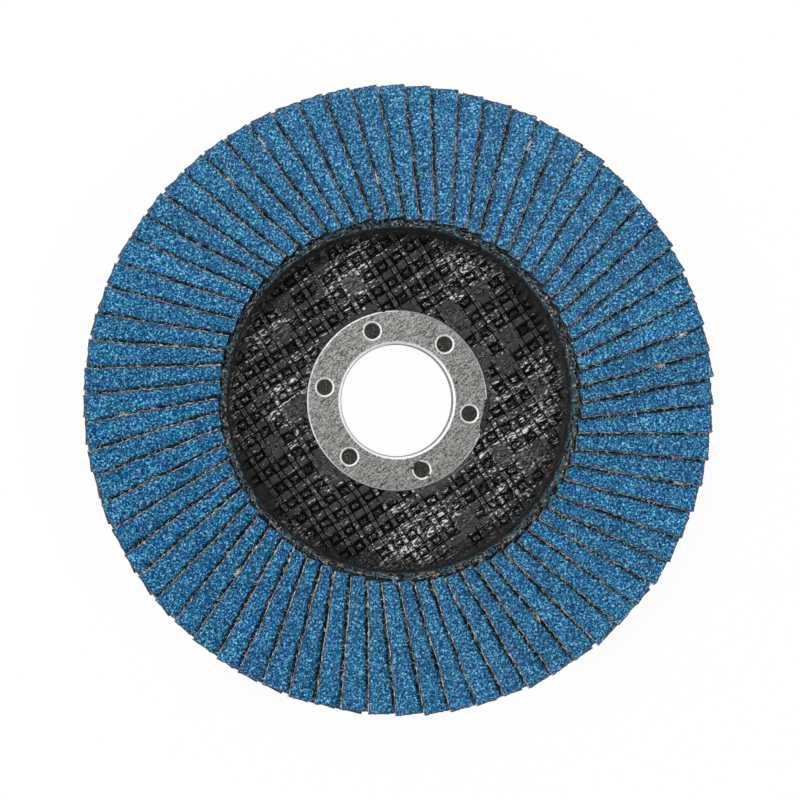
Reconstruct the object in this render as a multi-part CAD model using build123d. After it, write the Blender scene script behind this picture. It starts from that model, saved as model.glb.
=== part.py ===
from build123d import *
import os
from math import asin, atan2, cos, radians, sin, sqrt, tan
from random import Random

# Flap disc for an angle grinder, in millimetres.
# It lies on its hub back with the abrasive side up: z = 0 is the face that
# seats on the spindle flange, and the origin is the centre of the bore there.

# Whole disc
disc_diameter = 125.0
bore_diameter = 22.23

# Backing plate: one moulded dish of resin and glass mesh
flap_overhang = 7.5
plate_thickness = 2.8
recess_depth = 4.0
recess_lip = 0.25
recess_wall_run = 3.2
recess_bend_radius = 2.0
plate_rim_radius = 0.8

# Glass mesh that stands out of the recess floor and wall
mesh_angle = 33.0
bundle_pitch = 3.7
bundle_width = 1.8
bundle_height = 0.3
thread_pair_pitch = 3.4
thread_pair_width = 0.9
thread_pair_height = 0.4
mesh_root = 0.4
mesh_edge_margin = 0.4
mesh_bed_margin = 0.95

# Steel ring with its collar through the plate
ring_diameter = 36.0
ring_thickness = 0.9
collar_wall = 0.9
ring_fit = 0.05
bore_edge_radius = 0.6
ring_edge_radius = 0.3

# Holes in the ring, filled by studs of the plate's resin
hole_count = 6
hole_diameter = 3.1
hole_circle_shift = 0.14
hole_edge_radius = 0.35
first_hole_angle = -10.3
stud_fit = 0.05
stud_sink = 0.2

# Cured adhesive under the flaps, with a bead along their inner ends
bed_thickness = 0.4
bed_rim_margin = 0.8
bead_width = 1.1
bead_height = 4.0
bead_gap = 0.15

# Flaps of abrasive cloth
flap_count = 72
flap_width = 15.0
flap_inner_distance = 35.4
cloth_thickness = 0.94
layer_gap = 0.06
seat_gap = 0.03
first_flap_angle = 1.15
end_unevenness = 0.2
edge_unevenness = 0.25
flaps_per_node = 2

# Two radii closer than this are the same
radius_tolerance = 0.01

# Sizes that follow from the ones above
plate_radius = disc_diameter / 2 - flap_overhang
bore_radius = bore_diameter / 2
collar_radius = bore_radius + collar_wall
ring_radius = ring_diameter / 2
hole_radius = hole_diameter / 2
hole_circle_radius = (bore_radius + ring_radius) / 2 + hole_circle_shift
flange_front = recess_depth + plate_thickness
bed_top = flange_front + bed_thickness
bed_inner_radius = flap_inner_distance - end_unevenness - bead_gap - bead_width
bed_outer_radius = plate_radius - bed_rim_margin
recess_mouth_radius = bed_inner_radius - recess_lip
recess_floor_radius = recess_mouth_radius - recess_wall_run
flap_step = 360 / flap_count
flap_low_edge = flap_width / 2
flap_seat = bed_top + seat_gap
flap_outer_distance = sqrt((disc_diameter / 2) ** 2 - flap_low_edge**2)


def spun(outline):
    """Solid of revolution about Z from a face drawn as (radius, height)."""
    return revolve(Plane.XZ * outline, Axis.Z)


def corner(outline, radius, height):
    """The vertex of a profile that lies nearest to a point."""
    return outline.vertices().sort_by_distance((radius, height))[0]


def around(count, first_angle, radius):
    """Places evenly spaced on a circle about the bore."""
    return [
        Rot(0, 0, first_angle + 360 / count * index) * Pos(radius, 0, 0)
        for index in range(count)
    ]


def ring_band(inner_radius, outer_radius):
    """Flat ring between two radii."""
    return Circle(outer_radius) - Circle(inner_radius)


def dish():
    """The plate's body: floor, sloping wall and flat flange of one thickness."""
    back_shift = plate_thickness * tan(atan2(recess_depth, recess_wall_run) / 2)
    hole = collar_radius + ring_fit
    bends = [
        (recess_floor_radius + back_shift, 0),
        (recess_mouth_radius + back_shift, recess_depth),
        (recess_mouth_radius, flange_front),
        (recess_floor_radius, plate_thickness),
    ]
    rims = [(plate_radius, recess_depth), (plate_radius, flange_front)]
    outline = make_face(
        Polyline(
            (hole, 0),
            bends[0],
            bends[1],
            rims[0],
            rims[1],
            bends[2],
            bends[3],
            (hole, plate_thickness),
            close=True,
        )
    )
    outline = fillet([corner(outline, *point) for point in bends], recess_bend_radius)
    outline = fillet([corner(outline, *point) for point in rims], plate_rim_radius)
    return spun(outline)


def mesh_layer(height):
    """Skin of the recess floor and wall, from the mesh's root to the given height above."""
    inner = ring_radius + mesh_edge_margin
    outer = bed_inner_radius - mesh_bed_margin
    slope = atan2(recess_depth, recess_wall_run)
    wall_height = plate_thickness + (outer - recess_floor_radius) * tan(slope)
    low_bend = (recess_floor_radius + mesh_root * tan(slope / 2), plate_thickness - mesh_root)
    high_bend = (recess_floor_radius - height * tan(slope / 2), plate_thickness + height)
    outline = make_face(
        Polyline(
            (inner, plate_thickness - mesh_root),
            low_bend,
            (outer, wall_height - mesh_root / cos(slope)),
            (outer, wall_height + height / cos(slope)),
            high_bend,
            (inner, plate_thickness + height),
            close=True,
        )
    )
    outline = fillet(corner(outline, *low_bend), recess_bend_radius + mesh_root)
    outline = fillet(corner(outline, *high_bend), recess_bend_radius - height)
    return spun(outline)


def ridges(angle, pitch, width, height):
    """Parallel ridges of the mesh, one pitch apart, between the ring and the bed."""
    count = int(bed_inner_radius / pitch)
    strip = Rectangle(bed_inner_radius * 2, width)
    strips = [Pos(0, pitch * index) * strip for index in range(-count, count + 1)]
    bars = extrude(Rot(0, 0, angle) * Sketch(strips), bed_top)
    return (mesh_layer(height) & bars).solids()


def backing_plate():
    """Dish with its glass mesh and the resin studs that fill the ring's holes."""
    stud = Pos(0, 0, plate_thickness) * extrude(
        Circle(hole_radius - stud_fit), ring_thickness - stud_sink
    )
    places = around(hole_count, first_hole_angle, hole_circle_radius)
    studs = [place * stud for place in places]
    bundles = ridges(mesh_angle, bundle_pitch, bundle_width, bundle_height)
    thread_pairs = ridges(
        mesh_angle + 90, thread_pair_pitch, thread_pair_width, thread_pair_height
    )
    return dish().fuse(*studs, *bundles, *thread_pairs)


def hub_ring():
    """Pressed steel washer whose collar runs through the plate."""
    top = plate_thickness + ring_thickness
    outline = make_face(
        Polyline(
            (bore_radius, 0),
            (collar_radius, 0),
            (collar_radius, plate_thickness),
            (ring_radius, plate_thickness),
            (ring_radius, top),
            (bore_radius, top),
            close=True,
        )
    )
    outline = fillet(corner(outline, bore_radius, top), bore_edge_radius)
    outline = fillet(corner(outline, ring_radius, top), ring_edge_radius)
    ring = spun(outline)
    drill = Pos(0, 0, plate_thickness) * extrude(Circle(hole_radius), ring_thickness)
    for place in around(hole_count, first_hole_angle, hole_circle_radius):
        ring -= place * drill
    hole_edges = (
        ring.edges()
        .filter_by(GeomType.CIRCLE)
        .filter_by(lambda edge: abs(edge.radius - hole_radius) < radius_tolerance)
        .group_by(Axis.Z)[-1]
    )
    return fillet(hole_edges, hole_edge_radius)


def flap_slope(distance):
    """Rise per millimetre of width, where a layer of cloth just clears the next."""
    layer = cloth_thickness + layer_gap
    step = radians(flap_step)
    inner = tan(asin(layer / (flap_inner_distance * step)))
    outer = tan(asin(layer / (flap_outer_distance * step)))
    share = (distance - flap_inner_distance) / (flap_outer_distance - flap_inner_distance)
    return inner + (outer - inner) * share


def cross_section(distance, points):
    """Face across a flap's length, from (sideways, height) points."""
    return make_face(Polyline(*[(distance, side, height) for side, height in points], close=True))


def flap_section(distance, raised_edge):
    """Cloth in section: its low edge on the bed, its other edge at raised_edge."""
    slope = atan2(flap_slope(distance), 1)
    width = (flap_low_edge - raised_edge) / cos(slope)
    along = Vector(-cos(slope), sin(slope)) * width
    through = Vector(sin(slope), cos(slope)) * cloth_thickness
    low = Vector(flap_low_edge, flap_seat)
    corners = [low, low + along, low + along + through, low + through]
    return cross_section(distance, [(point.X, point.Y) for point in corners])


def flap(index, chance):
    """One flap at its place: a slightly twisted slab, cut a little unevenly."""
    inner = flap_inner_distance + chance.uniform(-end_unevenness, end_unevenness)
    outer = flap_outer_distance + chance.uniform(-end_unevenness, end_unevenness)
    edge = [-flap_low_edge + chance.uniform(-edge_unevenness, edge_unevenness) for _ in range(2)]
    slab = loft([flap_section(inner, edge[0]), flap_section(outer, edge[1])], ruled=True)
    return Rot(0, 0, first_flap_angle + flap_step * index) * slab


def wedge_section(distance):
    """Adhesive in section under one flap, up to the low edge of the next."""
    slope = flap_slope(distance)
    turn = radians(flap_step)
    next_low_edge = flap_low_edge / cos(turn) - distance * tan(turn)
    wall = next_low_edge + cloth_thickness * sin(atan2(slope, 1)) + layer_gap
    tip = flap_low_edge - layer_gap
    crest = flap_seat + (flap_low_edge - wall) * slope - layer_gap
    return cross_section(distance, [(tip, bed_top), (wall, bed_top), (wall, crest)])


def adhesive_bed():
    """Ring of cured adhesive with a ramp under each flap and a bead inside them."""
    base = Pos(0, 0, flange_front) * extrude(
        ring_band(bed_inner_radius, bed_outer_radius), bed_thickness
    )
    bead_outer = bed_inner_radius + bead_width
    bead = spun(
        make_face(
            Polyline(
                (bed_inner_radius, flange_front),
                (bead_outer, flange_front),
                (bead_outer, flange_front + bead_height),
                (bed_inner_radius + bead_width / 2, flange_front + bead_height),
                close=True,
            )
        )
    )
    reach = sqrt(bed_outer_radius**2 - flap_low_edge**2)
    ramp = loft([wedge_section(flap_inner_distance), wedge_section(reach)], ruled=True)
    ramps = [Rot(0, 0, first_flap_angle + flap_step * index) * ramp for index in range(flap_count)]
    return (base + bead).fuse(*ramps)


def save(name, shape):
    export_step(shape, f"parts/{name}.step")


os.makedirs("parts", exist_ok=True)
save("backing_plate", backing_plate())
save("hub_ring", hub_ring())
save("adhesive_bed", adhesive_bed())

chance = Random(flap_count)
flaps = [flap(index, chance) for index in range(flap_count)]
for first in range(0, flap_count, flaps_per_node):
    group = flaps[first : first + flaps_per_node]
    save(f"flap_pair_{first // flaps_per_node + 1:02d}", Compound(children=group))
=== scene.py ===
import bpy
import bmesh
from math import asin, atan2, cos, degrees, floor, hypot, pi, radians, sin, sqrt, tan
from random import Random
from mathutils import Matrix, Vector, noise


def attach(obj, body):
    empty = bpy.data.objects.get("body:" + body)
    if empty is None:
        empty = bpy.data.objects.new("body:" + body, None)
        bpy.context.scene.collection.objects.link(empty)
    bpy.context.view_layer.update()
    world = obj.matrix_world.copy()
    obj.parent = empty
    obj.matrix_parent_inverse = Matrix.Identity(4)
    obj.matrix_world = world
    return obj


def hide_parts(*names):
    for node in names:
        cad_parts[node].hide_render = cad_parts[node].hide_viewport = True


# Flap disc lying on its hub back, abrasive side up. Blender works in metres, the sizes below are in mm.
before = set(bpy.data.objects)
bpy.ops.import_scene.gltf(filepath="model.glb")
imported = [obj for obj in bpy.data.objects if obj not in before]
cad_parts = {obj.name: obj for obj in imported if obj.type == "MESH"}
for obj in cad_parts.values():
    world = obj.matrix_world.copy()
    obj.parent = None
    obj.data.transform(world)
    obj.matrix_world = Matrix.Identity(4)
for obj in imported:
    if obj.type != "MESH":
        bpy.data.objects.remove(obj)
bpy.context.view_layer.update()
mm = 0.001
body = "root"  # nothing on the disc moves
print("frame loaded", len(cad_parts), "nodes")


def hexColour(code):
    # sRGB hex to the linear values that Blender wants
    channels = [int(code[place:place + 2], 16) / 255 for place in (1, 3, 5)]
    linear = [c / 12.92 if c <= 0.04045 else ((c + 0.055) / 1.055) ** 2.4 for c in channels]
    return (*linear, 1.0)


def addNode(tree, kind, settings=None, inputs=None, stops=None):
    # one node: its settings, its inputs (a value, a socket, or a node for its first output) and its ramp
    node = tree.nodes.new(kind)
    for name, value in (settings or {}).items():
        setattr(node, name, value)
    for name, value in (inputs or {}).items():
        if isinstance(value, bpy.types.Node):
            value = next(output for output in value.outputs if output.enabled)
        if isinstance(value, bpy.types.NodeSocket):
            tree.links.new(value, node.inputs[name])
        else:
            node.inputs[name].default_value = value
    if stops:
        ramp = node.color_ramp.elements
        ramp.remove(ramp[1])
        for index, (position, code) in enumerate(stops):
            stop = ramp.new(position) if index else ramp[0]
            stop.position = position
            stop.color = hexColour(code)
    return node


def newMaterial(name):
    material = bpy.data.materials.new(name)
    material.use_nodes = True
    material.node_tree.nodes.clear()
    return material, material.node_tree


def selectOnly(piece):
    bpy.ops.object.select_all(action="DESELECT")
    piece.select_set(True)
    bpy.context.view_layer.objects.active = piece


def startPiece(name):
    # the primitive that was just added, its place and size in its mesh
    piece = bpy.context.active_object
    piece.name = name
    piece.data.name = name
    selectOnly(piece)
    bpy.ops.object.transform_apply(location=True, rotation=True, scale=True)
    return piece


def pick(piece, kind, test):
    # selects vertices, edges or faces of the piece in edit mode by a test on their middle
    bpy.ops.mesh.select_mode(type=kind)
    bpy.ops.mesh.select_all(action="DESELECT")
    mesh = bmesh.from_edit_mesh(piece.data)
    parts = {"VERT": mesh.verts, "EDGE": mesh.edges, "FACE": mesh.faces}[kind]
    for part in parts:
        corners = [part] if kind == "VERT" else part.verts
        middle = sum((corner.co for corner in corners), Vector()) / len(corners)
        if test(part, middle):
            part.select_set(True)
    mesh.select_flush_mode()
    bmesh.update_edit_mesh(piece.data)


def applyModifier(piece, kind, settings):
    selectOnly(piece)
    modifier = piece.modifiers.new(kind, kind)
    for name, value in settings.items():
        setattr(modifier, name, value)
    bpy.ops.object.modifier_apply(modifier=modifier.name)


def spinOutline(name, outline, steps):
    # closed ring about Z from points given as (radius, height) in mm
    bpy.ops.object.select_all(action="DESELECT")
    bpy.ops.mesh.primitive_circle_add(vertices=len(outline), radius=1, fill_type="NOTHING")
    piece = startPiece(name)
    for vertex, (radius, height) in zip(piece.data.vertices, outline):
        vertex.co = Vector((radius, 0, height)) * mm
    bpy.ops.object.mode_set(mode="EDIT")
    bpy.ops.mesh.select_all(action="SELECT")
    bpy.ops.mesh.spin(steps=steps, angle=2 * pi, center=(0, 0, 0), axis=(0, 0, 1), use_auto_merge=True)
    bpy.ops.mesh.select_all(action="SELECT")
    bpy.ops.mesh.remove_doubles(threshold=0.01 * mm)
    bpy.ops.mesh.normals_make_consistent(inside=False)
    bpy.ops.object.mode_set(mode="OBJECT")
    return piece


def dress(mesh, material):
    for polygon in mesh.polygons:
        polygon.use_smooth = True
    mesh.materials.append(material)


def softStep(low, high, value):
    share = min(1.0, max(0.0, (value - low) / (high - low)))
    return share * share * (3 - 2 * share)


uvScale = 0.01  # the flaps' UV map holds distances in mm at this scale

gritFinish = {
    "grain": 0.29,  # P60 grains are about 0.27 mm
    "worm": 0.38,
    "patch": 6.0,
    "sway": 2.4,
    "shadeFrom": 1.15,  # distances of the painted shade from the edge, less 0.9 that the two wavy patterns add on average
    "shadeTo": 1.90,
    "waviness": 0.9,
    "shadeEnd": 60.7,  # the painted shade runs out here, in mm along the flap
    "cutLine": 61.95,
}


def makeGrit():
    # zirconia grit under blue size resin: speckled navy to pale blue, half matt, with small bright facets
    material, tree = newMaterial("zirconia_grit")
    place = addNode(tree, "ShaderNodeTexCoord").outputs["Object"]
    grains = addNode(tree, "ShaderNodeTexVoronoi", None, {
        "Vector": place, "Scale": 1 / (gritFinish["grain"] * mm), "Randomness": 1.0,
    })
    parts = addNode(tree, "ShaderNodeSeparateColor", None, {"Color": grains.outputs["Color"]}).outputs
    worms = addNode(tree, "ShaderNodeTexNoise", None, {
        "Vector": place, "Scale": 1 / (gritFinish["worm"] * mm), "Detail": 2.5,
        "Roughness": 0.6, "Distortion": 0.6,
    })
    patches = addNode(tree, "ShaderNodeTexNoise", None, {
        "Vector": place, "Scale": 1 / (gritFinish["patch"] * mm), "Detail": 3.0,
    })
    mixed = addNode(tree, "ShaderNodeMath", {"operation": "MULTIPLY_ADD"}, {
        0: parts["Red"], 1: 0.16, 2: worms,
    })
    blue = addNode(tree, "ShaderNodeValToRGB", None, {"Fac": mixed}, [
        (0.40, "#021A36"), (0.50, "#04436F"), (0.57, "#095F92"), (0.66, "#2C92C2"), (0.75, "#AADDEE"),
    ])
    hue = addNode(tree, "ShaderNodeValToRGB", None, {"Fac": parts["Green"]}, [
        (0.0, "#DCC8FF"), (0.5, "#F4FFFF"), (1.0, "#AAFFE6"),
    ])
    tinted = addNode(tree, "ShaderNodeMix", {"data_type": "RGBA", "blend_type": "MULTIPLY"}, {
        0: 1.0, "A": blue, "B": hue,
    })
    tone = addNode(tree, "ShaderNodeAttribute", {"attribute_name": "tone"}).outputs["Fac"]
    cloud = addNode(tree, "ShaderNodeMath", {"operation": "MULTIPLY_ADD"}, {0: tone, 1: 0.35, 2: patches})
    level = addNode(tree, "ShaderNodeMapRange", None, {0: cloud, 1: 0.35, 2: 1.0, 3: 0.80, 4: 1.12})
    # painted shade: the grit is painted darker close to the edge of the flap above, where that edge shades
    # it
    beside = addNode(tree, "ShaderNodeUVMap", {"uv_map": "beside"})
    distances = addNode(tree, "ShaderNodeSeparateXYZ", None, {0: beside}).outputs
    sway = addNode(tree, "ShaderNodeTexNoise", None, {
        "Vector": place, "Scale": 1 / (gritFinish["sway"] * mm), "Detail": 2.0,
    })
    away = distances["Y"]
    for pattern in (worms, sway):
        away = addNode(tree, "ShaderNodeMath", {"operation": "MULTIPLY_ADD"}, {
            0: pattern, 1: gritFinish["waviness"] * uvScale, 2: away,
        })
    shade = addNode(tree, "ShaderNodeMapRange", {"interpolation_type": "SMOOTHSTEP"}, {
        0: away, 1: gritFinish["shadeFrom"] * uvScale, 2: gritFinish["shadeTo"] * uvScale, 3: 0.06, 4: 1.0,
    })
    atEnd = addNode(tree, "ShaderNodeMapRange", None, {
        0: distances["X"], 1: gritFinish["shadeEnd"] * uvScale, 2: (gritFinish["shadeEnd"] + 1) * uvScale,
        3: 0.0, 4: 1.0,
    })
    paintedLit = addNode(tree, "ShaderNodeMath", {"operation": "MAXIMUM"}, {0: shade, 1: atEnd})
    withPaintedShade = addNode(tree, "ShaderNodeMath", {"operation": "MULTIPLY"}, {0: level, 1: paintedLit})
    colour = addNode(tree, "ShaderNodeVectorMath", {"operation": "SCALE"}, {0: tinted, "Scale": withPaintedShade})
    # brown glue and scorch line where the outer end was cut
    ragged = addNode(tree, "ShaderNodeMath", {"operation": "MULTIPLY_ADD"}, {
        0: parts["Blue"], 1: 0.18 * uvScale, 2: distances["X"],
    })
    cutLine = addNode(tree, "ShaderNodeMapRange", None, {
        0: ragged, 1: gritFinish["cutLine"] * uvScale, 2: (gritFinish["cutLine"] + 0.1) * uvScale,
        3: 0.0, 4: 0.8,
    })
    scorched = addNode(tree, "ShaderNodeMix", {"data_type": "RGBA"}, {
        0: cutLine, "A": colour, "B": hexColour("#5C3B22"),
    })
    relief = addNode(tree, "ShaderNodeBump", None, {"Height": mixed, "Strength": 0.8, "Distance": 0.15 * mm})
    shader = addNode(tree, "ShaderNodeBsdfPrincipled", None, {
        "Base Color": scorched, "Normal": relief, "Roughness": 0.45, "IOR": 1.5, "Specular IOR Level": 0.22,
    })
    addNode(tree, "ShaderNodeOutputMaterial", None, {"Surface": shader})
    return material


clothFinish = {"thread": 0.45, "blotch": 1.8, "colour": "#8C6B46", "dark": "#4E3A28"}


def makeCloth():
    # resin-stiffened polyester cotton backing cloth: matt tan weave
    material, tree = newMaterial("backing_cloth")
    place = addNode(tree, "ShaderNodeTexCoord").outputs["Object"]
    threads = addNode(tree, "ShaderNodeTexVoronoi", None, {
        "Vector": place, "Scale": 1 / (clothFinish["thread"] * mm), "Randomness": 0.35,
    })
    blotch = addNode(tree, "ShaderNodeTexNoise", None, {
        "Vector": place, "Scale": 1 / (clothFinish["blotch"] * mm), "Detail": 5.0,
    })
    colour = addNode(tree, "ShaderNodeValToRGB", None, {"Fac": blotch}, [
        (0.35, clothFinish["dark"]), (0.65, clothFinish["colour"]),
    ])
    relief = addNode(tree, "ShaderNodeBump", None, {
        "Height": threads, "Strength": 0.5, "Distance": 0.1 * mm,
    })
    shader = addNode(tree, "ShaderNodeBsdfPrincipled", None, {
        "Base Color": colour, "Normal": relief, "Roughness": 0.8,
    })
    addNode(tree, "ShaderNodeOutputMaterial", None, {"Surface": shader})
    return material


edgeFinish = {
    "tuft": 0.6,
    "gap": 0.8,
    "stainedTo": 36.6,  # the inner ends are dark with adhesive as far as this radius
    "cleanFrom": 38.5,
}


def makeCutEdge():
    # cut edge of coated cloth: blue grit, a brown glue line, then pale raw fibres, all ragged
    material, tree = newMaterial("cut_cloth_edge")
    place = addNode(tree, "ShaderNodeTexCoord").outputs["Object"]
    depth = addNode(tree, "ShaderNodeAttribute", {"attribute_name": "layerDepth"}).outputs["Fac"]
    tufts = addNode(tree, "ShaderNodeTexNoise", None, {
        "Vector": place, "Scale": 1 / (edgeFinish["tuft"] * mm), "Detail": 4.0, "Roughness": 0.75,
    })
    shift = addNode(tree, "ShaderNodeMath", {"operation": "MULTIPLY_ADD"}, {0: tufts, 1: 1.9, 2: -0.95})
    ragged = addNode(tree, "ShaderNodeMath", {"operation": "ADD"}, {0: depth, 1: shift})
    colour = addNode(tree, "ShaderNodeValToRGB", None, {"Fac": ragged}, [
        (0.22, "#0C3559"), (0.30, "#4A3A2C"), (0.42, "#CBBFAA"), (0.58, "#FBF8F0"), (0.76, "#8E7B62"),
        (0.98, "#2A211A"),
    ])
    reach = addNode(tree, "ShaderNodeVectorMath", {"operation": "LENGTH"}, {0: place})
    clean = addNode(tree, "ShaderNodeMapRange", None, {
        0: reach, 1: edgeFinish["stainedTo"] * mm, 2: edgeFinish["cleanFrom"] * mm, 3: 0.12, 4: 1.0,
    })
    gaps = addNode(tree, "ShaderNodeTexNoise", None, {
        "Vector": place, "Scale": 1 / (edgeFinish["gap"] * mm), "Detail": 3.0, "Roughness": 0.6,
    })
    broken = addNode(tree, "ShaderNodeMapRange", None, {0: gaps, 1: 0.44, 2: 0.58, 3: 0.16, 4: 1.1})
    level = addNode(tree, "ShaderNodeMath", {"operation": "MULTIPLY"}, {0: clean, 1: broken})
    stained = addNode(tree, "ShaderNodeVectorMath", {"operation": "SCALE"}, {0: colour, "Scale": level})
    shader = addNode(tree, "ShaderNodeBsdfPrincipled", None, {"Base Color": stained, "Roughness": 0.85})
    addNode(tree, "ShaderNodeOutputMaterial", None, {"Surface": shader})
    return material


def makeFibre():
    # raw polyester cotton fibres pulled out by the cut: off-white, soft sheen
    material, tree = newMaterial("raw_fibre")
    place = addNode(tree, "ShaderNodeTexCoord").outputs["Object"]
    spots = addNode(tree, "ShaderNodeTexNoise", None, {
        "Vector": place, "Scale": 1 / (2.0 * mm), "Detail": 3.0,
    })
    colour = addNode(tree, "ShaderNodeValToRGB", None, {"Fac": spots}, [(0.35, "#B9AE9A"), (0.6, "#FBFAF6")])
    shader = addNode(tree, "ShaderNodeBsdfPrincipled", None, {"Base Color": colour, "Roughness": 0.7})
    addNode(tree, "ShaderNodeOutputMaterial", None, {"Surface": shader})
    return material


weave = {
    "angle": 33.0,
    "bundlePitch": 3.7,
    "bundle": 1.8,
    "bundleHeight": 0.30,
    "threadPitch": 3.4,
    "threadPair": 0.9,
    "threadHeight": 0.40,
    "groove": 0.24,
    "grooveHalf": 0.18,
    "grooveDepth": 0.18,
    "pad": 0.10,  # height of the resin in a common window, in a filled one and in an open pit
    "filledHeight": 0.26,
    "pitDepth": 0.30,
    "wander": 0.45,
}

resinFinish = {
    "lump": 0.9,
    "fine": 0.38,
    "patch": 9.0,
    "strand": 0.34,  # coarser than real glass strands, which wouldn't show
    "wobble": 0.55,
    "wallFrom": 30.6,  # the sloping wall is painted darker, as the shade of the flaps, from this radius
    "wallTo": 31.8,
}


def makeResin():
    # black phenolic resin over glass mesh: dull flat bundles, wet glossy pools, pale bare strands in places;
    # painted shade in the grooves, pits and on the wall, painted highlights on the thread tops
    material, tree = newMaterial("phenolic_glass_mesh")
    place = addNode(tree, "ShaderNodeTexCoord").outputs["Object"]
    turned = addNode(tree, "ShaderNodeMapping", {"vector_type": "TEXTURE"}, {
        "Vector": place, "Rotation": (0, 0, radians(weave["angle"])), "Scale": (3.0, 1.0, 1.0),
    })
    lumps, fine, patches, hatch = [
        addNode(tree, "ShaderNodeTexNoise", None, {
            "Vector": source, "Scale": 1 / (resinFinish[size] * mm), "Detail": detail, "Roughness": rough,
        })
        for source, size, detail, rough in (
            (place, "lump", 4.0, 0.6), (place, "fine", 3.0, 0.65), (place, "patch", 2.0, 0.5),
            (turned, "strand", 2.0, 0.6),
        )
    ]
    # where the mesh is in sight: neither off it nor under a filled window
    onMesh, filled, pit = [
        addNode(tree, "ShaderNodeAttribute", {"attribute_name": name}).outputs["Fac"]
        for name in ("onMesh", "filled", "pit")
    ]
    clear = addNode(tree, "ShaderNodeMapRange", None, {0: filled, 1: 0.0, 2: 1.0, 3: 1.0, 4: 0.15})
    seen = addNode(tree, "ShaderNodeMath", {"operation": "MULTIPLY"}, {0: clear, 1: onMesh})
    # distances in mm from the nearest thread pair and bundle, from the unwrapped mesh
    mapped = addNode(tree, "ShaderNodeUVMap", {"uv_map": "mesh"})
    periods = addNode(tree, "ShaderNodeSeparateXYZ", None, {0: mapped}).outputs
    offCentre = addNode(tree, "ShaderNodeMath", {"operation": "SUBTRACT"}, {0: lumps, 1: 0.5})
    fromPair, fromBundle = [
        addNode(tree, "ShaderNodeMath", {"operation": "PINGPONG"}, {0: periods[axis], 1: 0.5})
        for axis in ("X", "Y")
    ]
    fromPair = addNode(tree, "ShaderNodeMath", {"operation": "MULTIPLY"}, {
        0: fromPair, 1: weave["threadPitch"],
    })
    fromBundle = addNode(tree, "ShaderNodeMath", {"operation": "MULTIPLY"}, {
        0: fromBundle, 1: weave["bundlePitch"],
    })
    fromPair = addNode(tree, "ShaderNodeMath", {"operation": "MULTIPLY_ADD"}, {
        0: offCentre, 1: resinFinish["wobble"], 2: fromPair,
    })
    fromBundle = addNode(tree, "ShaderNodeMath", {"operation": "MULTIPLY_ADD"}, {
        0: offCentre, 1: -resinFinish["wobble"], 2: fromBundle,
    })
    halfPair, halfBundle = weave["threadPair"] / 2, weave["bundle"] / 2
    pastPair = addNode(tree, "ShaderNodeMath", {"operation": "SUBTRACT"}, {0: fromPair, 1: halfPair + 0.05})
    pastBundle = addNode(tree, "ShaderNodeMath", {"operation": "SUBTRACT"}, {0: fromBundle, 1: halfBundle})
    inWindow = addNode(tree, "ShaderNodeMath", {"operation": "MINIMUM"}, {0: pastPair, 1: pastBundle})
    # lines along the mesh: the distance they follow, their place on it, half their width and their strength
    bands = []
    for distance, centre, half, strength in (
        (fromPair, halfPair * 0.62, 0.15, 1.0),
        (fromPair, halfPair + 0.12, 0.20, 1.12),
        (fromBundle, halfBundle + 0.02, 0.20, 1.5),
        (inWindow, 0.36, 0.20, 1.8),
    ):
        offset = addNode(tree, "ShaderNodeMath", {"operation": "SUBTRACT"}, {0: distance, 1: centre})
        away = addNode(tree, "ShaderNodeMath", {"operation": "ABSOLUTE"}, {0: offset})
        band = addNode(tree, "ShaderNodeMapRange", None, {0: away, 1: 0.0, 2: half, 3: strength, 4: 0.0})
        bands.append(band)
    threadLine, pairSide, bundleSide, outline = bands
    # painted shade: the grooves beside the thread pairs, beside the bundles and round the windows are
    # painted black, and open pits darker towards their middle; dark carries this painted shade, and the
    # first band marks the thread tops for the painted highlight
    pitPaintedShade = addNode(tree, "ShaderNodeMapRange", None, {0: inWindow, 1: 0.0, 2: 0.2727, 3: 0.0, 4: 0.6})
    paintedCavityShade = addNode(tree, "ShaderNodeMath", {"operation": "MULTIPLY"}, {0: pit, 1: pitPaintedShade})
    for line in (pairSide, bundleSide, outline):
        paintedCavityShade = addNode(tree, "ShaderNodeMath", {"operation": "MAXIMUM"}, {0: paintedCavityShade, 1: line})
    dark = addNode(tree, "ShaderNodeMath", {"operation": "MULTIPLY", "use_clamp": True}, {
        0: paintedCavityShade, 1: seen,
    })
    # painted highlight: the wet tops of the thread pairs are painted light grey in specks, where they would
    # catch light
    specks = addNode(tree, "ShaderNodeMapRange", {"clamp": False}, {
        0: fine, 1: 0.42, 2: 0.67, 3: 0.0, 4: 1.0,
    })
    topLine = addNode(tree, "ShaderNodeMath", {"operation": "MULTIPLY"}, {0: threadLine, 1: seen})
    paintedHighlight = addNode(tree, "ShaderNodeMath", {"operation": "MULTIPLY", "use_clamp": True}, {
        0: topLine, 1: specks,
    })
    # glass strands that the resin left bare, mostly in a few patches, painted pale; the pale streaks also
    # serve as painted glints
    showing = addNode(tree, "ShaderNodeMath", {"operation": "MULTIPLY_ADD"}, {0: patches, 1: 0.5, 2: hatch})
    bare = addNode(tree, "ShaderNodeMapRange", None, {0: showing, 1: 0.855, 2: 0.90, 3: 0.0, 4: 1.0})
    bareStrandsAndPaintedGlints = addNode(tree, "ShaderNodeMath", {"operation": "MULTIPLY"}, {0: bare, 1: seen})
    colour = addNode(tree, "ShaderNodeValToRGB", None, {"Fac": lumps}, [
        (0.35, "#121212"), (0.68, "#2E2E2D"),
    ])
    for share, code in ((paintedHighlight, "#9C9C99"), (bareStrandsAndPaintedGlints, "#E2E3E0"), (dark, "#000000")):
        colour = addNode(tree, "ShaderNodeMix", {"data_type": "RGBA"}, {
            0: share, "A": colour, "B": hexColour(code),
        })
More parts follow.
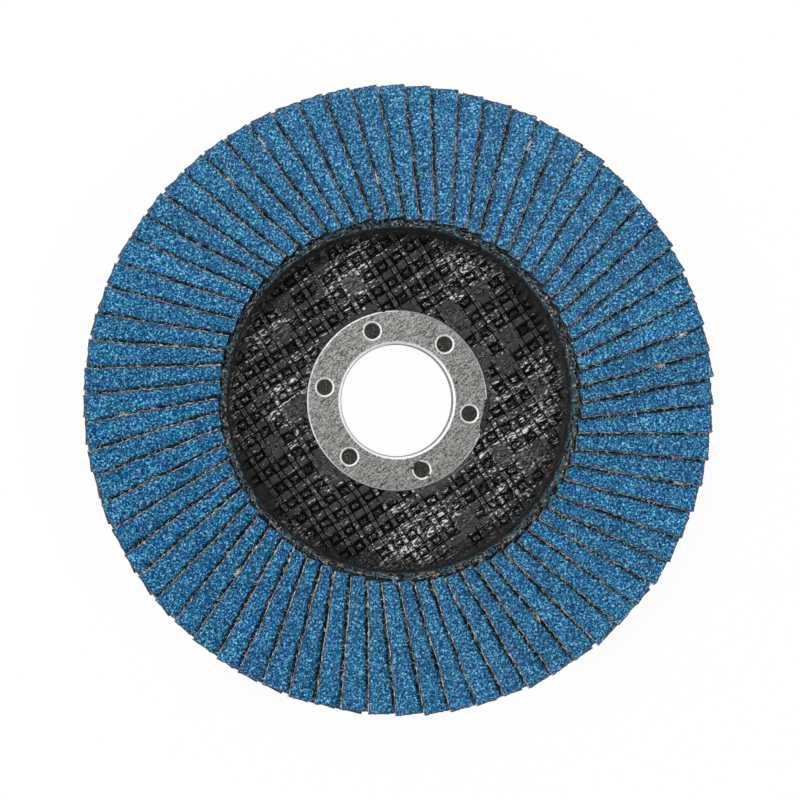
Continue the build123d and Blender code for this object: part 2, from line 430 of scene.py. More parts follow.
    # painted shade: the sloping wall is painted darker and duller, for the shade of the flaps
    reach = addNode(tree, "ShaderNodeVectorMath", {"operation": "LENGTH"}, {0: place})
    wallPaintedShade, wallDull = [
        addNode(tree, "ShaderNodeMapRange", None, {
            0: reach, 1: resinFinish["wallFrom"] * mm, 2: resinFinish["wallTo"] * mm, 3: low, 4: high,
        })
        for low, high in ((1.0, 0.7), (0.0, 0.72))
    ]
    withPaintedShade = addNode(tree, "ShaderNodeVectorMath", {"operation": "SCALE"}, {0: colour, "Scale": wallPaintedShade})
    # the painted shade also takes the shine off the grooves, pits and wall
    dull = addNode(tree, "ShaderNodeMath", {"operation": "MAXIMUM"}, {0: dark, 1: wallDull})
    shine = addNode(tree, "ShaderNodeMapRange", None, {0: dull, 1: 0.0, 2: 1.0, 3: 0.5, 4: 0.04})
    rough = addNode(tree, "ShaderNodeMapRange", None, {0: inWindow, 1: -0.1, 2: 0.15, 3: 0.46, 4: 0.12})
    height = 0.0
    for part, share in ((hatch, 0.4), (fine, 0.6), (dark, -0.8), (paintedHighlight, 0.6)):
        height = addNode(tree, "ShaderNodeMath", {"operation": "MULTIPLY_ADD"}, {
            0: part, 1: share, 2: height,
        })
    relief = addNode(tree, "ShaderNodeBump", None, {
        "Height": height, "Strength": 1.0, "Distance": 0.20 * mm,
    })
    shader = addNode(tree, "ShaderNodeBsdfPrincipled", None, {
        "Base Color": withPaintedShade, "Normal": relief, "Roughness": rough, "Specular IOR Level": shine, "IOR": 1.5,
    })
    addNode(tree, "ShaderNodeOutputMaterial", None, {"Surface": shader})
    return material


def makeRoughResin():
    # the plate's resin where it was squeezed through and broken off: dark, crumbly, a few shiny faces
    material, tree = newMaterial("broken_resin")
    place = addNode(tree, "ShaderNodeTexCoord").outputs["Object"]
    crumbs = addNode(tree, "ShaderNodeTexNoise", None, {
        "Vector": place, "Scale": 1 / (0.36 * mm), "Detail": 3.0, "Roughness": 0.7,
    })
    colour = addNode(tree, "ShaderNodeValToRGB", None, {"Fac": crumbs}, [
        (0.42, "#040303"), (0.55, "#221C18"), (0.70, "#857A6E"),
    ])
    relief = addNode(tree, "ShaderNodeBump", None, {"Height": crumbs, "Strength": 1.0, "Distance": 0.4 * mm})
    shader = addNode(tree, "ShaderNodeBsdfPrincipled", None, {
        "Base Color": colour, "Normal": relief, "Roughness": 0.35,
    })
    addNode(tree, "ShaderNodeOutputMaterial", None, {"Surface": shader})
    return material


adhesiveFinish = {
    "lump": 0.5,
    "crumb": 0.36,
    "dustFrom": 8.6,  # the dust thickens between these heights, near the flaps
    "dustTo": 10.4,
}


def makeAdhesive():
    # cured brown black adhesive with cloth dust and grit stuck in it: rough and dull
    material, tree = newMaterial("cured_adhesive")
    place = addNode(tree, "ShaderNodeTexCoord").outputs["Object"]
    lumps = addNode(tree, "ShaderNodeTexNoise", None, {
        "Vector": place, "Scale": 1 / (adhesiveFinish["lump"] * mm), "Detail": 4.0, "Roughness": 0.7,
    })
    crumbs = addNode(tree, "ShaderNodeTexVoronoi", None, {
        "Vector": place, "Scale": 1 / (adhesiveFinish["crumb"] * mm), "Randomness": 1.0,
    })
    parts = addNode(tree, "ShaderNodeSeparateColor", None, {"Color": crumbs.outputs["Color"]}).outputs
    colour = addNode(tree, "ShaderNodeValToRGB", None, {"Fac": lumps}, [
        (0.44, "#030303"), (0.60, "#17120E"), (0.76, "#5A4938"),
    ])
    crumbColour = addNode(tree, "ShaderNodeValToRGB", None, {"Fac": parts["Green"]}, [
        (0.0, "#9A5C30"), (0.3, "#2A84A6"), (0.62, "#35758F"), (0.8, "#86745C"), (1.0, "#D8CFB8"),
    ])
    crumbShare = addNode(tree, "ShaderNodeMapRange", None, {
        0: parts["Red"], 1: 0.45, 2: 0.55, 3: 0.0, 4: 0.85,
    })
    # below the dust a fifth of the crumbs still show, partly dust and partly painted glints
    height = addNode(tree, "ShaderNodeSeparateXYZ", None, {0: place}).outputs["Z"]
    upper = addNode(tree, "ShaderNodeMapRange", None, {
        0: height, 1: adhesiveFinish["dustFrom"] * mm, 2: adhesiveFinish["dustTo"] * mm, 3: 0.2, 4: 1.0,
    })
    dustAndPaintedGlints = addNode(tree, "ShaderNodeMath", {"operation": "MULTIPLY"}, {0: crumbShare, 1: upper})
    dusty = addNode(tree, "ShaderNodeMix", {"data_type": "RGBA"}, {0: dustAndPaintedGlints, "A": colour, "B": crumbColour})
    relief = addNode(tree, "ShaderNodeBump", None, {"Height": lumps, "Strength": 1.0, "Distance": 0.35 * mm})
    shader = addNode(tree, "ShaderNodeBsdfPrincipled", None, {
        "Base Color": dusty, "Normal": relief, "Roughness": 0.6, "Specular IOR Level": 0.25,
    })
    addNode(tree, "ShaderNodeOutputMaterial", None, {"Surface": shader})
    return material


ringHoles = {"count": 6, "circle": 14.6975, "firstAngle": -10.3}

steelFinish = {
    "holeHighlight": 2.0,  # painted highlight round the rounded rim of each hole out to here
    "boreBand": 11.85,
    "boreLine": 11.29,
    "edgeLine": 17.72,
    "scratch": 0.22,
    "speck": 0.30,
    "scratchAngle": 40.0,
}


def makeSteel():
    # pressed steel strip, barrel-finished: satin and speckled, with painted highlights on the rounded rims
    # of the holes, the bore and the outer edge
    material, tree = newMaterial("satin_steel")
    place = addNode(tree, "ShaderNodeTexCoord").outputs["Object"]
    turned = addNode(tree, "ShaderNodeMapping", {"vector_type": "TEXTURE"}, {
        "Vector": place, "Rotation": (0, 0, radians(steelFinish["scratchAngle"])), "Scale": (7.0, 1.0, 1.0),
    })
    scratches = addNode(tree, "ShaderNodeTexNoise", None, {
        "Vector": turned, "Scale": 1 / (steelFinish["scratch"] * mm), "Detail": 3.0, "Roughness": 0.7,
    })
    specks = addNode(tree, "ShaderNodeTexNoise", None, {
        "Vector": place, "Scale": 1 / (steelFinish["speck"] * mm), "Detail": 3.0, "Roughness": 0.7,
    })
    mixed = addNode(tree, "ShaderNodeMath", {"operation": "MULTIPLY_ADD"}, {0: scratches, 1: 0.8, 2: specks})
    colour = addNode(tree, "ShaderNodeValToRGB", None, {"Fac": mixed}, [
        (0.70, "#3E3D3B"), (0.80, "#92918D"), (0.92, "#CFCECA"), (1.0, "#FFFFFF"),
    ])
    # distances from the bore's axis and from the nearest hole
    flat = addNode(tree, "ShaderNodeVectorMath", {"operation": "MULTIPLY"}, {0: place, 1: (1, 1, 0)})
    radius = addNode(tree, "ShaderNodeVectorMath", {"operation": "LENGTH"}, {0: flat})
    fromHole = 1.0
    for index in range(ringHoles["count"]):
        turn = radians(ringHoles["firstAngle"] + 360 / ringHoles["count"] * index)
        centre = Vector((cos(turn), sin(turn), 0)) * ringHoles["circle"] * mm
        toThis = addNode(tree, "ShaderNodeVectorMath", {"operation": "DISTANCE"}, {0: flat, 1: centre})
        fromHole = addNode(tree, "ShaderNodeMath", {"operation": "MINIMUM"}, {0: fromHole, 1: toThis})
    # painted highlights: white where the rounded rims of the holes, the bore's bend and the outer edge would
    # catch light
    paintedRimHighlight = 0.0
    for value, near, width in (
        (fromHole, "holeHighlight", -0.15), (radius, "boreBand", -0.25), (radius, "edgeLine", 0.12),
    ):
        rim = addNode(tree, "ShaderNodeMapRange", None, {
            0: value, 1: steelFinish[near] * mm, 2: (steelFinish[near] + width) * mm, 3: 0.0, 4: 1.0,
        })
        paintedRimHighlight = addNode(tree, "ShaderNodeMath", {"operation": "MAXIMUM"}, {0: paintedRimHighlight, 1: rim})
    # darker line where the bore edge turns down
    boreLine = addNode(tree, "ShaderNodeMapRange", None, {
        0: radius, 1: steelFinish["boreLine"] * mm, 2: (steelFinish["boreLine"] - 0.08) * mm, 3: 0.0, 4: 0.7,
    })
    for share, code in ((paintedRimHighlight, "#FFFFFF"), (boreLine, "#4A463F")):
        colour = addNode(tree, "ShaderNodeMix", {"data_type": "RGBA"}, {
            0: share, "A": colour, "B": hexColour(code),
        })
    rough = addNode(tree, "ShaderNodeMapRange", None, {0: paintedRimHighlight, 1: 0.0, 2: 1.0, 3: 0.36, 4: 0.62})
    relief = addNode(tree, "ShaderNodeBump", None, {
        "Height": mixed, "Strength": 0.45, "Distance": 0.05 * mm,
    })
    shader = addNode(tree, "ShaderNodeBsdfPrincipled", None, {
        "Base Color": colour, "Normal": relief, "Roughness": rough, "Metallic": 1.0,
    })
    addNode(tree, "ShaderNodeOutputMaterial", None, {"Surface": shader})
    return material


gritMaterial = makeGrit()
clothMaterial = makeCloth()
edgeMaterial = makeCutEdge()
fibreMaterial = makeFibre()
resinMaterial = makeResin()
roughResinMaterial = makeRoughResin()
adhesiveMaterial = makeAdhesive()
steelMaterial = makeSteel()
print("materials made")


flap = {
    "count": 72,
    "width": 15.0,
    "inner": 35.4,
    "rim": 62.5,  # radius of the outer corners
    "thick": 0.94,
    "gap": 0.06,
    "seat": 7.23,
    "firstAngle": 1.15,
    "exposed": 6.5,
    "endUneven": 0.2,
    "edgeUneven": 0.25,
    "alongCuts": 84,
    "exposedCuts": 17,
    "hiddenCuts": 3,
    "free": 5.0,  # the cloth is loose over this width behind its raised edge
    "lift": 0.45,
    "sway": 0.30,
    "raggedBand": 0.5,
    "cutRough": 0.16,
    "undercut": 0.15,  # the cloth stands out this far past the grit at the cut
    "grain": 0.10,
    "grainSize": 0.55,
}

fray = {
    "perFlap": 36,
    "length": 0.6,
    "radius": 0.05,
    "tuft": 26,
    # frayed spots as (angle in degrees, radius in mm)
    "spots": [
        (127.5, 54.8), (118.3, 58.0), (63.9, 56.7), (54.4, 59.8), (182.9, 54.8),
        (12.7, 58.0), (7.0, 52.0), (343.5, 58.0), (229.0, 47.0), (301.0, 50.5), (95.0, 44.0),
    ],
}


def flapTilt(distance):
    # angle at which one layer of cloth just clears the next
    step = radians(360 / flap["count"])
    return asin((flap["thick"] + flap["gap"]) / (distance * step))


def modelFlap():
    # one nominal flap lying along +X, with its low edge on the bed and its other edge raised
    low = flap["width"] / 2 * mm
    inner = flap["inner"] * mm
    outer = sqrt(flap["rim"] ** 2 - (flap["width"] / 2) ** 2) * mm
    same = 0.001 * mm
    middle = Vector(((inner + outer) / 2, 0, flap["seat"] * mm))
    bpy.ops.mesh.primitive_plane_add(size=1, location=middle)
    piece = startPiece("flap_pattern")
    bpy.ops.object.mode_set(mode="EDIT")
    bpy.ops.mesh.select_all(action="SELECT")
    bpy.ops.transform.resize(value=(outer - inner, low * 2, 1), center_override=middle)
    for end, distance in ((-1, inner), (1, outer)):
        pick(piece, "VERT", lambda part, at: at.y < 0 and (at.x - middle.x) * end > 0)
        rise = low * 2 * tan(flapTilt(distance / mm))
        bpy.ops.transform.translate(value=(0, 0, rise))
    border = -low + flap["exposed"] * mm
    bpy.ops.mesh.select_all(action="SELECT")
    bpy.ops.mesh.bisect(plane_co=(0, border, 0), plane_no=(0, 1, 0))
    pick(piece, "EDGE", lambda part, at: abs(part.verts[0].co.y - part.verts[1].co.y) < same)
    bpy.ops.mesh.subdivide(number_cuts=flap["alongCuts"])
    for side, cuts in ((-1, flap["exposedCuts"]), (1, flap["hiddenCuts"])):
        pick(
            piece, "EDGE", lambda part, at: (at.y - border) * side > same
            and abs(part.verts[0].co.x - part.verts[1].co.x) < same,
        )
        bpy.ops.mesh.subdivide(number_cuts=cuts)
    bpy.ops.object.mode_set(mode="OBJECT")
    for material in (gritMaterial, clothMaterial, edgeMaterial):
        piece.data.materials.append(material)
    piece.vertex_groups.new(name="clothSide")
    applyModifier(piece, "SOLIDIFY", {
        "thickness": (flap["thick"] - flap["grain"] / 2) * mm, "offset": 1.0,
        "material_offset": 1, "material_offset_rim": 2, "shell_vertex_group": "clothSide",
    })
    depth = piece.data.attributes.new("layerDepth", "FLOAT", "POINT")
    for vertex in piece.data.vertices:
        depth.data[vertex.index].value = 1.0 if vertex.groups else 0.0
    return piece


def cutUnevenly(mesh, index, cuts):
    # trims the flap as the real ones are, and keeps each point's distance from the edge of the flap above
    # for the painted shade beside that edge
    inner = flap["inner"]
    low = flap["width"] / 2
    length = sqrt(flap["rim"] ** 2 - low ** 2) - inner
    step = radians(360 / flap["count"])
    shiftInner, shiftOuter, edgeInner, edgeOuter = cuts[index]
    aboveInner, aboveOuter = cuts[(index + 1) % flap["count"]][2:]
    seed = index * 17.3
    places = []
    rim = []
    for vertex in mesh.vertices:
        x, y, z = vertex.co / mm
        along = (x - inner) / length
        across = (low - y) / flap["width"]
        fromEdge = (1 - across) * flap["width"]
        x += shiftInner + (shiftOuter - shiftInner) * along
        y += (edgeInner + (edgeOuter - edgeInner) * along) * across
        # the loose part lifts off and sways
        free = max(0.0, 1 - fromEdge / flap["free"])
        wave = noise.noise(Vector((along * 2.3, seed, 0.3)))
        z += flap["lift"] * free ** 2 * (0.45 + 0.9 * wave)
        y += flap["sway"] * free * noise.noise(Vector((along * 4.0, seed, 5.1)))
        # the raised edge and both ends are ragged
        ragged = max(0.0, 1 - fromEdge / flap["raggedBand"])
        y += flap["cutRough"] * ragged * noise.noise(Vector((x * 1.9, seed, z * 1.3)))
        endNear = max(0.0, 1 - min(along, 1 - along) * length / flap["raggedBand"])
        x += flap["cutRough"] * endNear * noise.noise(Vector((y * 1.8, seed, along * 9)))
        if vertex.groups:
            stands = flap["undercut"] * (0.55 + 0.9 * abs(noise.noise(Vector((x * 1.1, seed, 3.3)))))
            y -= ragged * stands
            x += 0.55 * max(0.0, 1 - (1 - along) * length / flap["raggedBand"]) * stands
        if across > 0.999:
            rim.append(Vector((x, y, z)))
        share = (x - inner) / length
        uneven = aboveInner + (aboveOuter - aboveInner) * share
        edge = (uneven - low) / cos(step) + x * tan(step)
        places.append((inner + length * along, edge - y))
        vertex.co = Vector((x, y, z)) * mm
    layer = mesh.uv_layers.new(name="beside")
    for loop in mesh.loops:
        along, across = places[loop.vertex_index]
        layer.data[loop.index].uv = (along * uvScale, across * uvScale)
    return rim


def modelFibre():
    # one bent fibre one unit long, pointing up
    bpy.ops.object.select_all(action="DESELECT")
    bpy.ops.mesh.primitive_cone_add(
        vertices=3, radius1=fray["radius"] / fray["length"], radius2=0.02, depth=1.0, location=(0, 0, 0.5),
    )
    piece = startPiece("fibre_pattern")
    bpy.ops.object.mode_set(mode="EDIT")
    pick(piece, "EDGE", lambda part, at: 0.3 < at.z < 0.7)
    bpy.ops.mesh.subdivide(number_cuts=2)
    pick(piece, "VERT", lambda part, at: 0.5 < at.z < 0.8)
    bpy.ops.transform.translate(value=(0.12, 0, 0))
    pick(piece, "VERT", lambda part, at: at.z > 0.9)
    bpy.ops.transform.translate(value=(0.34, 0, 0))
    bpy.ops.object.mode_set(mode="OBJECT")
    mesh = piece.data.copy()
    bpy.data.objects.remove(piece)
    return mesh


def addFibre(build, pattern, root, chance, spread, size):
    # copies the fibre to the root, leaning out of the cut and along it
    aside = chance.uniform(-1, 1) * spread
    lean = Vector((aside, -0.25 - 0.5 * chance.random(), chance.uniform(-0.15, 0.5)))
    turn = lean.to_track_quat("Z", "Y").to_matrix().to_4x4()
    roll = Matrix.Rotation(chance.uniform(0, 2 * pi), 4, "Z")
    length = fray["length"] * chance.uniform(0.45, 1.25) * size * mm
    place = Matrix.Translation(root) @ turn @ roll @ Matrix.Scale(length, 4)
    made = bmesh.ops.duplicate(build, geom=pattern)["geom"]
    corners = [part for part in made if isinstance(part, bmesh.types.BMVert)]
    bmesh.ops.transform(build, matrix=place, verts=corners)


def frayEdge(mesh, index, rim, fibre, chance):
    # pulled fibres along the raised cut edge, thick tufts where the cloth is torn
    build = bmesh.new()
    build.from_mesh(fibre)
    pattern = build.verts[:] + build.edges[:] + build.faces[:]
    first = build.verts[:]
    for _ in range(fray["perFlap"]):
        addFibre(build, pattern, chance.choice(rim) * mm, chance, 1.6, 1.0)
    for angle, radius in fray["spots"]:
        reach = sqrt(radius ** 2 - (flap["width"] / 2) ** 2)
        own = angle + degrees(asin(flap["width"] / 2 / radius)) - flap["firstAngle"]
        if round(own / (360 / flap["count"])) % flap["count"] == index:
            near = [point for point in rim if abs(point.x - reach) < 0.9]
            for _ in range(fray["tuft"]):
                addFibre(build, pattern, chance.choice(near) * mm, chance, 1.3, 1.5)
    bmesh.ops.delete(build, geom=first, context="VERTS")
    threads = bpy.data.meshes.new("threads")
    build.to_mesh(threads)
    build.free()
    count = len(mesh.polygons)
    whole = bmesh.new()
    whole.from_mesh(mesh)
    whole.from_mesh(threads)
    whole.to_mesh(mesh)
    whole.free()
    bpy.data.meshes.remove(threads)
    for polygon in mesh.polygons[count:]:
        polygon.material_index = 3


def addFlaps():
    pattern = modelFlap()
    fibre = modelFibre()
    grains = bpy.data.textures.new("grain_relief", "VORONOI")
    grains.noise_scale = flap["grainSize"] * mm
    grains.distance_metric = "DISTANCE"
    chance = Random(flap["count"])
    cuts = []
    for index in range(flap["count"]):
        ends = [chance.uniform(-flap["endUneven"], flap["endUneven"]) for _ in range(2)]
        edges = [chance.uniform(-flap["edgeUneven"], flap["edgeUneven"]) for _ in range(2)]
        cuts.append(ends + edges)
    for index in range(flap["count"]):
        piece = bpy.data.objects.new(f"flap_{index + 1:02d}", pattern.data.copy())
        bpy.context.collection.objects.link(piece)
        piece.vertex_groups.new(name="clothSide")
        rim = cutUnevenly(piece.data, index, cuts)
        tone = piece.data.attributes.new("tone", "FLOAT", "POINT")
        shade = chance.random()
        for entry in tone.data:
            entry.value = shade
        applyModifier(piece, "DISPLACE", {
            "texture": grains, "texture_coords": "LOCAL", "mid_level": 0.5,
            "strength": flap["grain"] * mm, "vertex_group": "clothSide", "invert_vertex_group": True,
        })
        frayEdge(piece.data, index, rim, fibre, chance)
        turn = radians(flap["firstAngle"] + 360 / flap["count"] * index)
        piece.data.transform(Matrix.Rotation(turn, 4, "Z"))
        piece.data.materials.append(fibreMaterial)
        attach(piece, body)
        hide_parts(f"flap_pair_{index // 2 + 1:02d}")
    bpy.data.objects.remove(pattern)
    print("flaps made", flap["count"])


addFlaps()


plate = {
    "hole": 12.065,
    "thick": 2.8,
    "depth": 4.0,
    "floor": 30.5,
    "mouth": 33.7,
    "rim": 55.0,
    "bend": 2.0,
    "rimRound": 0.8,
    "spinSteps": 720,
    "fineStep": 0.25,
    "coarseStep": 2.0,
    "fineFrom": 18.0,
}


def roundedCorner(before, at, after, radius, steps=4):
    # points of the arc that rounds a corner of the outline
    at = Vector(at)
    inward = (Vector(before) - at).normalized()
    outward = (Vector(after) - at).normalized()
    half = inward.angle(outward) / 2
    centre = at + (inward + outward).normalized() * radius / sin(half)
    start = at + inward * radius / tan(half) - centre
    end = at + outward * radius / tan(half) - centre
    return [centre + start.slerp(end, step / steps, Vector((1, 0))) for step in range(steps + 1)]


def plateOutline():
    # section of the plate as (radius, height), corners rounded and long runs divided
    back = plate["thick"] * tan(atan2(plate["depth"], plate["mouth"] - plate["floor"]) / 2)
    front = plate["depth"] + plate["thick"]
    corners = [
        ((plate["hole"], plate["thick"]), 0),
        ((plate["floor"], plate["thick"]), plate["bend"]),
        ((plate["mouth"], front), plate["bend"]),
        ((plate["rim"], front), plate["rimRound"]),
        ((plate["rim"], plate["depth"]), plate["rimRound"]),
        ((plate["mouth"] + back, plate["depth"]), plate["bend"]),
        ((plate["floor"] + back, 0), plate["bend"]),
        ((plate["hole"], 0), 0),
    ]
    points = []
    for index, (at, radius) in enumerate(corners):
        if radius:
            points += roundedCorner(corners[index - 1][0], at, corners[index + 1][0], radius)
        else:
            points.append(Vector(at))
    outline = []
    for start, end in zip(points, points[1:] + points[:1]):
        outline.append(start)
        onFloor = start.y > plate["thick"] - 0.01 and end.x < plate["mouth"]
        step = plate["fineStep"] if onFloor else plate["coarseStep"]
        pieces = max(1, round((end - start).length / step))
        outline += [start.lerp(end, part / pieces) for part in range(1, pieces)]
    return outline


def meshPlace(x, y):
    # the point in periods of the thread pairs and of the bundles, with the mesh's slight wander
    turn = radians(weave["angle"])
    drift = Vector((x / 9, y / 9, 1.7))
    along = x * cos(turn) + y * sin(turn) + weave["wander"] * noise.noise(drift)
    across = y * cos(turn) - x * sin(turn) + weave["wander"] * noise.noise(drift + Vector((9, 4, 2)))
    return along / weave["threadPitch"], across / weave["bundlePitch"]


def meshRelief(x, y):
    # resin-soaked glass mesh at a point: height, and how far its window is filled or an open pit
    u, v = meshPlace(x, y)
    fromBundle = abs((v + 0.5) % 1 - 0.5) * weave["bundlePitch"]
    fromPair = abs((u + 0.5) % 1 - 0.5) * weave["threadPitch"]
    lump = noise.fractal(Vector((x * 1.3, y * 1.3, 4.4)), 0.6, 2.0, 3)
    bundle = 1 - softStep(0.82, 1.08, (fromBundle + 0.08 * lump) / (weave["bundle"] / 2))
    over = 0.5 + 0.5 * cos(2 * pi * v)
    thread = 1 - softStep(0.55, 1.15, fromPair / (weave["threadPair"] / 2))
    inside = min(fromPair - weave["threadPair"] / 2, fromBundle - weave["bundle"] / 2) + 0.10 * lump
    groove = max(0.0, 1 - abs(inside - weave["groove"]) / weave["grooveHalf"])
    centre = softStep(weave["groove"], weave["groove"] + 0.25, inside)
    # each window of the mesh draws its own kind, and more of them are filled near the ring
    kind = abs(noise.cell(Vector((floor(v) + 0.5, floor(u) + 0.5, 7.5)))) % 1
    region = noise.noise(Vector((x / 7, y / 7, 8.1)))
    nearRing = 1 - softStep(plate["fineFrom"] + 0.5, plate["fineFrom"] + 4.0, hypot(x, y))
    filled = softStep(0.84, 0.92, kind + 0.22 * region + 0.30 * nearRing)
    pit = softStep(0.62, 0.75, 1 - kind) * (1 - filled)
    window = softStep(-0.02, 0.12, inside)
    height = bundle * weave["bundleHeight"] * (1 + 0.18 * lump)
    height = max(height, thread * (weave["threadHeight"] - 0.06 + 0.06 * over))
    pad = weave["pad"] + 0.10 * lump - weave["pitDepth"] * pit
    height += window * (centre * pad - weave["grooveDepth"] * groove)
    height = height * (1 - filled) + filled * max(height, weave["filledHeight"] + 0.03 * lump)
    return height, filled, pit


def addPlate():
    piece = spinOutline("plate", plateOutline(), plate["spinSteps"])
    names = ("onMesh", "filled", "pit")
    for name in names:
        piece.data.attributes.new(name, "FLOAT", "POINT")
    looks = [piece.data.attributes[name] for name in names]
    slope = plate["depth"] / (plate["mouth"] - plate["floor"])
    normals = [vertex.normal.copy() for vertex in piece.data.vertices]
    for vertex, normal in zip(piece.data.vertices, normals):
        x, y, z = vertex.co / mm
        radius = hypot(x, y)
        surface = plate["thick"] + max(0.0, radius - plate["floor"]) * slope
        if plate["fineFrom"] - 0.3 < radius < plate["mouth"] and z > surface - 0.5:
            fade = softStep(plate["fineFrom"] - 0.1, plate["fineFrom"] + 0.2, radius)
            fade *= 1 - softStep(plate["mouth"] - 0.45, plate["mouth"] + 0.1, radius)
            height, filled, pit = meshRelief(x, y)
            vertex.co += normal * height * fade * mm
            for look, value in zip(looks, (fade, filled, pit)):
                look.data[vertex.index].value = value
    unwrapped = [meshPlace(vertex.co.x / mm, vertex.co.y / mm) for vertex in piece.data.vertices]
    layer = piece.data.uv_layers.new(name="mesh")
    for loop in piece.data.loops:
        layer.data[loop.index].uv = unwrapped[loop.vertex_index]
    dress(piece.data, resinMaterial)
    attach(piece, body)
    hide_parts("backing_plate")
    print("plate made", len(piece.data.polygons), "faces")


addPlate()


stud = {
    "radius": 1.52,
    "top": 3.52,
    "flat": 0.22,
    "crown": 0.33,
    "shank": 0.5,
    "lumpFrom": 0.4,  # only this much of the top is lumpy
    "lump": 0.10,
}


def addStuds():
    bpy.ops.object.select_all(action="DESELECT")
    bpy.ops.mesh.primitive_uv_sphere_add(segments=36, ring_count=18, radius=stud["radius"] * mm)
    piece = startPiece("stud_pattern")
    bpy.ops.object.mode_set(mode="EDIT")
    bpy.ops.mesh.select_all(action="SELECT")
    bpy.ops.mesh.bisect(plane_co=(0, 0, 0), plane_no=(0, 0, 1), clear_inner=True, use_fill=False)
    bpy.ops.mesh.select_all(action="SELECT")
    bpy.ops.transform.resize(value=(1, 1, stud["flat"]), center_override=(0, 0, 0))
    pick(piece, "EDGE", lambda part, at: part.is_boundary)
    bpy.ops.mesh.extrude_region_move(TRANSFORM_OT_translate={"value": (0, 0, -stud["shank"] * mm)})
    bpy.ops.mesh.edge_face_add()
    bpy.ops.mesh.select_all(action="SELECT")
    bpy.ops.mesh.normals_make_consistent(inside=False)
    bpy.ops.object.mode_set(mode="OBJECT")
    rough = piece.data.copy()
    bpy.data.objects.remove(piece)
    for index in range(ringHoles["count"]):
        mesh = rough.copy()
        plug = bpy.data.objects.new(f"resin_stud_{index + 1}", mesh)
        bpy.context.collection.objects.link(plug)
        turn = radians(ringHoles["firstAngle"] + 360 / ringHoles["count"] * index)
        place = Vector((cos(turn), sin(turn), 0)) * ringHoles["circle"] * mm
        place.z = (stud["top"] - stud["crown"]) * mm
        mesh.transform(Matrix.Translation(place))
        for vertex in mesh.vertices:
            x, y, z = vertex.co / mm
            if z > stud["top"] - stud["lumpFrom"]:
                vertex.co.z += stud["lump"] * noise.noise(Vector((x * 2.5, y * 2.5, 1.3))) * mm
        dress(mesh, roughResinMaterial)
        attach(plug, body)
    print("studs made", ringHoles["count"])


addStuds()


flash = {
    # lumps of resin that ran over the ring: angle, radius, size in mm
    "lumps": [
        (-0.5, 18.0, 0.55), (-3.0, 17.95, 0.70), (-5.5, 17.9, 0.75), (-8.0, 17.88, 0.80),
        (-10.5, 17.85, 0.75), (-13.0, 17.83, 0.80), (-15.5, 17.86, 0.75), (-18.0, 17.95, 0.65),
        (-20.0, 18.0, 0.5),
        (-73.6, 13.34, 0.50), (-71.2, 13.05, 0.42), (-75.9, 13.85, 0.45), (-67.1, 16.2, 0.28),
        (98.5, 18.0, 0.32),
    ],
    "top": 3.72,
    "stretch": (0.75, 1.15, 0.22),
    "uneven": 0.35,
}


def addFlash():
    bpy.ops.object.select_all(action="DESELECT")
    bpy.ops.mesh.primitive_ico_sphere_add(subdivisions=4, radius=1.0)
    piece = startPiece("flash_pattern")
    lump = piece.data.copy()
    bpy.data.objects.remove(piece)
    whole = bmesh.new()
    for angle, radius, size in flash["lumps"]:
        copy = lump.copy()
        turn = Matrix.Rotation(radians(angle), 4, "Z")
        centre = turn @ Vector((radius, 0, flash["top"]))
        stretch = Matrix.Diagonal((*flash["stretch"], 1.0))
        place = Matrix.Translation((radius * mm, 0, flash["top"] * mm))
        copy.transform(turn @ place @ Matrix.Scale(size * mm, 4) @ stretch)
        for vertex in copy.vertices:
            point = vertex.co / mm
            push = 1 + flash["uneven"] * noise.noise(point * 2.2)
            vertex.co = (centre + (point - centre) * push) * mm
        whole.from_mesh(copy)
        bpy.data.meshes.remove(copy)
    mesh = bpy.data.meshes.new("resin_flash")
    whole.to_mesh(mesh)
    whole.free()
    dress(mesh, roughResinMaterial)
    run = bpy.data.objects.new("resin_flash", mesh)
    bpy.context.collection.objects.link(run)
    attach(run, body)
    print("flash made", len(flash["lumps"]))


addFlash()


bead = {
    # section as (radius, height)
    "section": [
        (33.9, 6.9), (33.95, 7.7), (34.15, 8.6), (34.4, 9.5), (34.65, 10.3), (34.9, 11.2), (35.15, 11.6),
        (35.5, 11.9), (35.7, 11.5), (35.7, 8.9), (35.1, 6.9),
    ],
    "lumpFrom": 6.9,
    "lumpFull": 8.4,
    "lump": 0.5,
    "heave": 0.8,
    "spinSteps": 900,
}


def addBead():
    piece = spinOutline("adhesive_bead", bead["section"], bead["spinSteps"])
    for vertex in piece.data.vertices:
        x, y, z = vertex.co / mm
        lump = noise.fractal(Vector((x * 1.1, y * 1.1, z * 1.6)), 0.7, 2.0, 4)
        lump *= softStep(bead["lumpFrom"], bead["lumpFull"], z) * mm
        outward = Vector((x, y, 0)).normalized()
        vertex.co += outward * lump * bead["lump"] + Vector((0, 0, lump * bead["heave"]))
    dress(piece.data, adhesiveMaterial)
    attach(piece, body)
    print("bead made")


addBead()


for node, material in (("hub_ring", steelMaterial), ("adhesive_bed", adhesiveMaterial)):
    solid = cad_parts[node]
    solid.data.materials.clear()
    solid.data.materials.append(material)
print("ring and bed dressed")


stage = {
    "floorSize": 4.0,
    "paper": "#F4F4F4",
    "whiteShare": 0.965,  # the camera sees the floor this near to plain white
    # the light from around fades from low at the sides to faint at the top
    "sideHeight": 0.2,
    "topHeight": 0.8,
    "sideLight": 0.8,
    "topLight": 0.05,
    # place and size in metres, power in watts
    "lamps": [
        ("lamp_top", (-0.25, 0.45, 0.9), 0.20, 4.7),
        ("lamp_right", (0.7, -0.1, 0.7), 0.16, 2.5),
        ("lamp_left", (-0.7, -0.25, 0.6), 0.16, 2.8),
    ],
    "aim": (0, 0, 0.01),
}


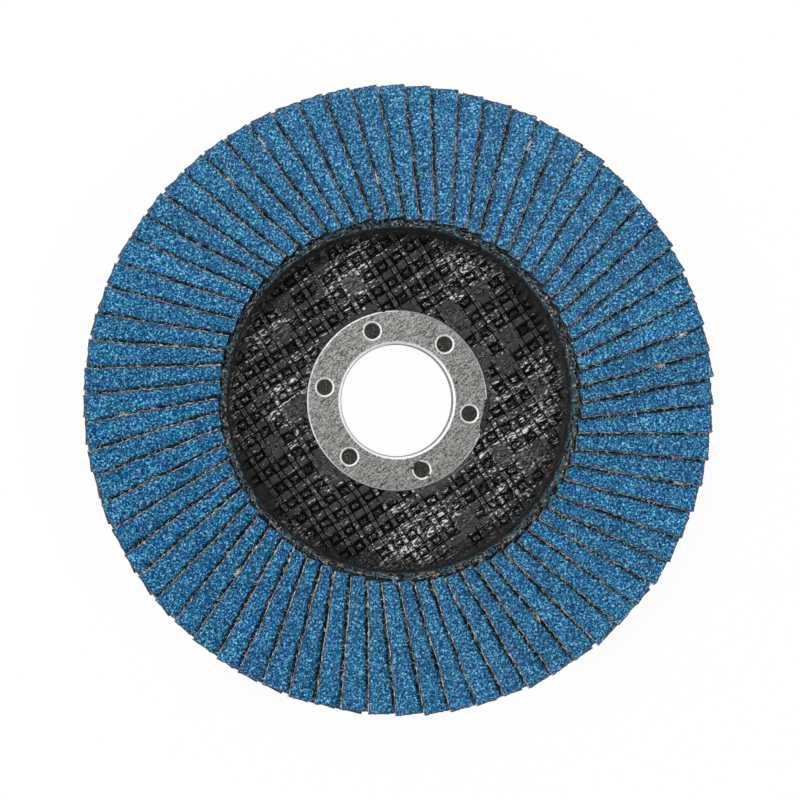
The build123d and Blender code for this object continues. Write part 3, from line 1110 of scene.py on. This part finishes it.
def addStage():
    bpy.ops.object.select_all(action="DESELECT")
    bpy.ops.mesh.primitive_plane_add(size=stage["floorSize"], location=(0, 0, 0))
    floor = startPiece("floor")
    # matt white paper, nearly burnt out for the camera: white with only a faint shadow
    material, tree = newMaterial("pale_floor")
    seen = addNode(tree, "ShaderNodeLightPath").outputs["Is Camera Ray"]
    white = addNode(tree, "ShaderNodeMath", {"operation": "MULTIPLY"}, {0: seen, 1: stage["whiteShare"]})
    paper = addNode(tree, "ShaderNodeBsdfDiffuse", None, {"Color": hexColour(stage["paper"])})
    glow = addNode(tree, "ShaderNodeEmission", None, {"Color": hexColour("#FFFFFF"), "Strength": 1.0})
    both = addNode(tree, "ShaderNodeMixShader", None, {0: white, 1: paper, 2: glow})
    addNode(tree, "ShaderNodeOutputMaterial", None, {"Surface": both})
    floor.data.materials.append(material)
    world = bpy.data.worlds.new("studio")
    bpy.context.scene.world = world
    world.use_nodes = True
    tree = world.node_tree
    tree.nodes.clear()
    around = addNode(tree, "ShaderNodeTexCoord").outputs["Generated"]
    upward = addNode(tree, "ShaderNodeSeparateXYZ", None, {0: around}).outputs["Z"]
    level = addNode(tree, "ShaderNodeMapRange", None, {
        0: upward, 1: stage["sideHeight"], 2: stage["topHeight"],
        3: stage["sideLight"], 4: stage["topLight"],
    })
    sky = addNode(tree, "ShaderNodeBackground", None, {"Color": hexColour("#FFFFFF"), "Strength": level})
    addNode(tree, "ShaderNodeOutputWorld", None, {"Surface": sky})
    for name, place, size, power in stage["lamps"]:
        lamp = bpy.data.lights.new(name, "AREA")
        lamp.size = size
        lamp.energy = power
        holder = bpy.data.objects.new(name, lamp)
        holder.location = place
        towards = Vector(stage["aim"]) - Vector(place)
        holder.rotation_euler = towards.to_track_quat("-Z", "Y").to_euler()
        bpy.context.collection.objects.link(holder)
    print("stage made")


view = {
    "distance": 1200.0,
    "lean": 4.6,  # degrees off straight down
    "towards": 188.0,  # direction of the lean, from +X
    "aimHeight": 10.9,
    "fieldWidth": 158.4,
    "sensor": 36.0,
}


def addCamera():
    lean = radians(view["lean"])
    heading = radians(view["towards"])
    back = Vector((sin(lean) * cos(heading), sin(lean) * sin(heading), cos(lean)))
    right = Vector((0, 1, 0)).cross(back).normalized()
    up = back.cross(right)
    lens = bpy.data.cameras.new("camera")
    lens.sensor_width = view["sensor"]
    lens.lens = view["sensor"] * view["distance"] / view["fieldWidth"]
    lens.clip_start = 0.01
    camera = bpy.data.objects.new("camera", lens)
    turned = Matrix((right, up, back)).transposed().to_4x4()
    aim = Vector((0, 0, view["aimHeight"] * mm))
    camera.matrix_world = Matrix.Translation(aim + back * view["distance"] * mm) @ turned
    bpy.context.collection.objects.link(camera)
    bpy.context.scene.camera = camera
    print("camera placed")


addStage()
addCamera()
bpy.context.scene.view_settings.view_transform = "Standard"
